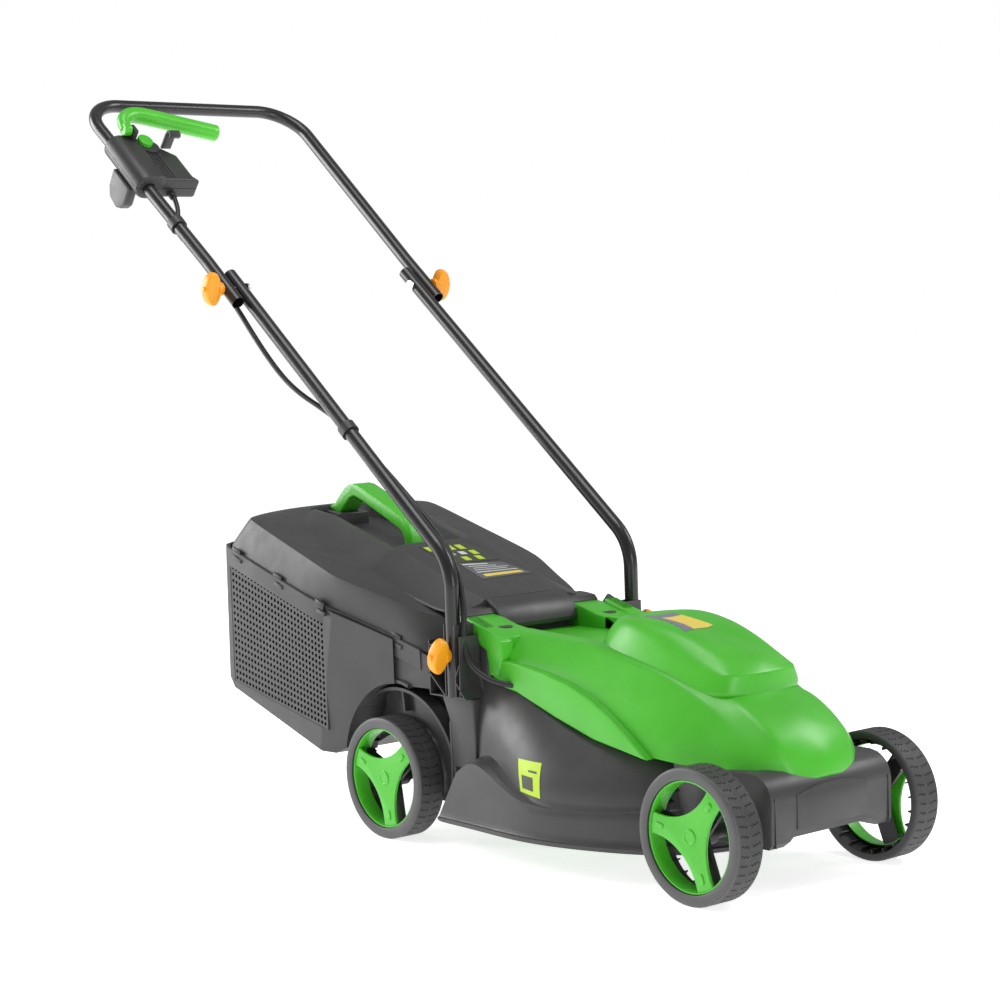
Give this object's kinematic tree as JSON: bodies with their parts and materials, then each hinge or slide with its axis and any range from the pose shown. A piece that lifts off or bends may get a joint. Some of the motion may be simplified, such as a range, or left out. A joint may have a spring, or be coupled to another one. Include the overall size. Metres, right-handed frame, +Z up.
{
  "type": "corded electric lawn mower",
  "caption": "Corded electric rotary lawn mower: moulded deck and motor hood on wheels, rigid rear grass box with a flap, and a folding tube handle with switch box and bail lever.",
  "frame": {"origin": "centre of the mower's bounding box in plan, on the ground under the wheels", "axes": "+X forward towards the nose, +Y to the mower's left, +Z up"},
  "size_m": [1.313, 0.4442, 1.0263],
  "materials": {
    "moulded_black": "satin",
    "hood_green": "satin",
    "wheel_black": "matte",
    "tube_black": "gloss",
    "switch_black": "satin",
    "knob_orange": "satin",
    "zinc_steel": "zinc plated",
    "blade_steel": "ground",
    "motor_steel": "bare",
    "nylon_natural": "matte",
    "lead_rubber": "matte",
    "pin_brass": "satin"
  },
  "bodies": {
    "deck": {"deck_housing": "moulded_black", "motor_hood": "hood_green", "hood_screw_caps": "moulded_black", "motor_can": "motor_steel", "stator_core": "motor_steel", "motor_bearings": "zinc_steel", "lower_handle_left": "tube_black", "lower_handle_right": "tube_black", "upper_handle_bolts": "zinc_steel", "lower_handle_bolts": "zinc_steel", "lower_lead_clip": "switch_black", "flap_hinge_pin": "zinc_steel", "mains_lead": "lead_rubber"},
    "rotor": {"armature": "motor_steel", "rotor_shaft": "zinc_steel", "blade_holder_fan": "nylon_natural", "cutting_blade": "blade_steel", "blade_washer": "zinc_steel", "blade_nut": "zinc_steel"},
    "front_axle": {"front_axle_rod": "zinc_steel", "front_axle_nuts": "zinc_steel", "front_axle_spacers": "nylon_natural"},
    "rear_axle": {"rear_axle_rod": "zinc_steel", "rear_axle_nuts": "zinc_steel", "rear_axle_spacers": "nylon_natural"},
    "wheel_front_left": {"front_left_wheel": "wheel_black", "front_left_wheel_cover": "hood_green"},
    "wheel_front_right": {"front_right_wheel": "wheel_black", "front_right_wheel_cover": "hood_green"},
    "wheel_rear_left": {"rear_left_wheel": "wheel_black", "rear_left_wheel_cover": "hood_green"},
    "wheel_rear_right": {"rear_right_wheel": "wheel_black", "rear_right_wheel_cover": "hood_green"},
    "grip": {"upper_handle": "tube_black", "upper_lead_clip": "switch_black", "switch_case_top": "switch_black", "switch_case_bottom": "switch_black", "switch_module": "switch_black", "lead_gland": "lead_rubber", "bail_pin": "zinc_steel", "plug_inlet": "switch_black", "plug_inlet_pins": "pin_brass", "cord_hook": "switch_black"},
    "bail": {"bail_lever": "hood_green"},
    "button": {"lock_off_button": "hood_green"},
    "knob_upper_left": {"upper_knob_left": "knob_orange"},
    "knob_upper_right": {"upper_knob_right": "knob_orange"},
    "knob_lower_left": {"lower_knob_left": "knob_orange"},
    "knob_lower_right": {"lower_knob_right": "knob_orange"},
    "grass_box": {"grass_box_lower": "moulded_black", "grass_box_lid": "moulded_black", "grass_box_handle": "hood_green", "vent_panel_left": "moulded_black", "vent_panel_right": "moulded_black"},
    "flap": {"rear_flap": "moulded_black"}
  },
  "joints": [
    {"name": "blade_spin", "type": "hinge", "parent": "deck", "child": "rotor", "pos_m": [0.38653, 0, 0.1], "axis": [0, 0, 1], "continuous": true},
    {"name": "front_axle_height", "type": "slide", "parent": "deck", "child": "front_axle", "axis": [0, 0, 1], "range_m": [-0.02, 0.02]},
    {"name": "rear_axle_height", "type": "slide", "parent": "deck", "child": "rear_axle", "axis": [0, 0, 1], "range_m": [-0.02, 0.02]},
    {"name": "front_left_wheel_spin", "type": "hinge", "parent": "front_axle", "child": "wheel_front_left", "pos_m": [0.57653, 0.153, 0.08], "axis": [0, 1, 0], "continuous": true},
    {"name": "front_right_wheel_spin", "type": "hinge", "parent": "front_axle", "child": "wheel_front_right", "pos_m": [0.57653, -0.153, 0.08], "axis": [0, 1, 0], "continuous": true},
    {"name": "rear_left_wheel_spin", "type": "hinge", "parent": "rear_axle", "child": "wheel_rear_left", "pos_m": [0.02053, 0.153, 0.08], "axis": [0, 1, 0], "continuous": true},
    {"name": "rear_right_wheel_spin", "type": "hinge", "parent": "rear_axle", "child": "wheel_rear_right", "pos_m": [0.02053, -0.153, 0.08], "axis": [0, 1, 0], "continuous": true},
    {"name": "handle_fold", "type": "hinge", "parent": "deck", "child": "grip", "pos_m": [-0.29598, 0, 0.73053], "axis": [0, 1, 0], "range_deg": [0, 160], "deforming": ["mains_lead"]},
    {"name": "flap_lift", "type": "hinge", "parent": "deck", "child": "flap", "pos_m": [0.13253, 0, 0.287], "axis": [0, 1, 0], "range_deg": [0, 70]},
    {"name": "grass_box_slide", "type": "slide", "parent": "deck", "child": "grass_box", "axis": [-1, 0, 0], "range_m": [0, 0.35]},
    {"name": "bail_squeeze", "type": "hinge", "parent": "grip", "child": "bail", "pos_m": [-0.54437, -0.172, 0.97183], "axis": [0, -1, 0], "range_deg": [0, 25], "stiffness_Nm_per_rad": 1.5},
    {"name": "button_press", "type": "slide", "parent": "grip", "child": "button", "axis": [-0.632, 0, -0.7749], "range_m": [0, 0.005], "stiffness_N_per_m": 400},
    {"name": "upper_left_knob_turn", "type": "hinge", "parent": "deck", "child": "knob_upper_left", "pos_m": [-0.29598, 0.2, 0.73053], "axis": [0, 1, 0], "continuous": true},
    {"name": "upper_right_knob_turn", "type": "hinge", "parent": "deck", "child": "knob_upper_right", "pos_m": [-0.29598, -0.2, 0.73053], "axis": [0, 1, 0], "continuous": true},
    {"name": "lower_left_knob_turn", "type": "hinge", "parent": "deck", "child": "knob_lower_left", "pos_m": [0.14853, 0.2, 0.252], "axis": [0, 1, 0], "continuous": true},
    {"name": "lower_right_knob_turn", "type": "hinge", "parent": "deck", "child": "knob_lower_right", "pos_m": [0.14853, -0.2, 0.252], "axis": [0, 1, 0], "continuous": true}
  ]
}
